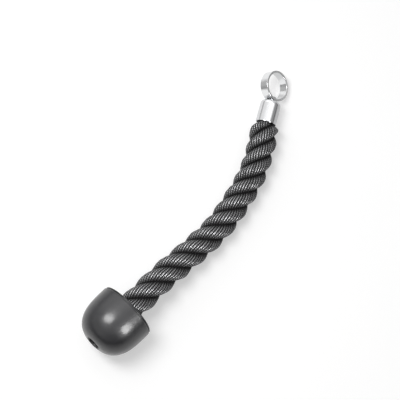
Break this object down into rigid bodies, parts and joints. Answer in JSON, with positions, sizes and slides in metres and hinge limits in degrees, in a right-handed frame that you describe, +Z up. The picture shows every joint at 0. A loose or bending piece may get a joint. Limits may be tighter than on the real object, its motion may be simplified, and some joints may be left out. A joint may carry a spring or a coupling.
{
  "type": "triceps rope attachment",
  "caption": "Short rope handle for a cable machine: a swivelling steel eye on a pressed cup, hard-laid twisted rope to grip, and a rubber stopper bolted on at the hand's end.",
  "frame": {"origin": "centre of the bottom of the box round the fittings and stopper, on the surface that the rope handle lies on", "axes": "+X from the rubber stopper to the steel eye, +Z up from the surface, +Y across, with the rope bowed towards -Y"},
  "size_m": [0.3549, 0.0757, 0.0663],
  "materials": {
    "eye_chrome": "bright polished chrome",
    "cup_chrome": "bright polished chrome",
    "pin_chrome": "polished chrome",
    "plated_steel": "zinc plated, satin",
    "bolt_steel": "zinc plated, satin",
    "rope_fibre": "charcoal black twisted synthetic yarn with a slight gloss",
    "stopper_rubber": "moulded dark grey rubber, satin"
  },
  "bodies": {
    "handle": {"eye_cup": "cup_chrome", "swivel_pin": "pin_chrome", "pin_washer": "plated_steel", "rope_strand_1": "rope_fibre", "rope_strand_2": "rope_fibre", "rope_strand_3": "rope_fibre", "end_cup": "plated_steel", "end_nut": "plated_steel", "stopper_washer": "plated_steel", "stopper_bolt": "bolt_steel", "rubber_stopper": "stopper_rubber"},
    "eye": {"eye_ring": "eye_chrome"}
  },
  "joints": [
    {"name": "eye_swivel", "type": "hinge", "parent": "handle", "child": "eye", "pos_m": [0.14524, 0.00422, 0.01594], "axis": [0.9418, 0.3357, 0.0167], "continuous": true}
  ]
}
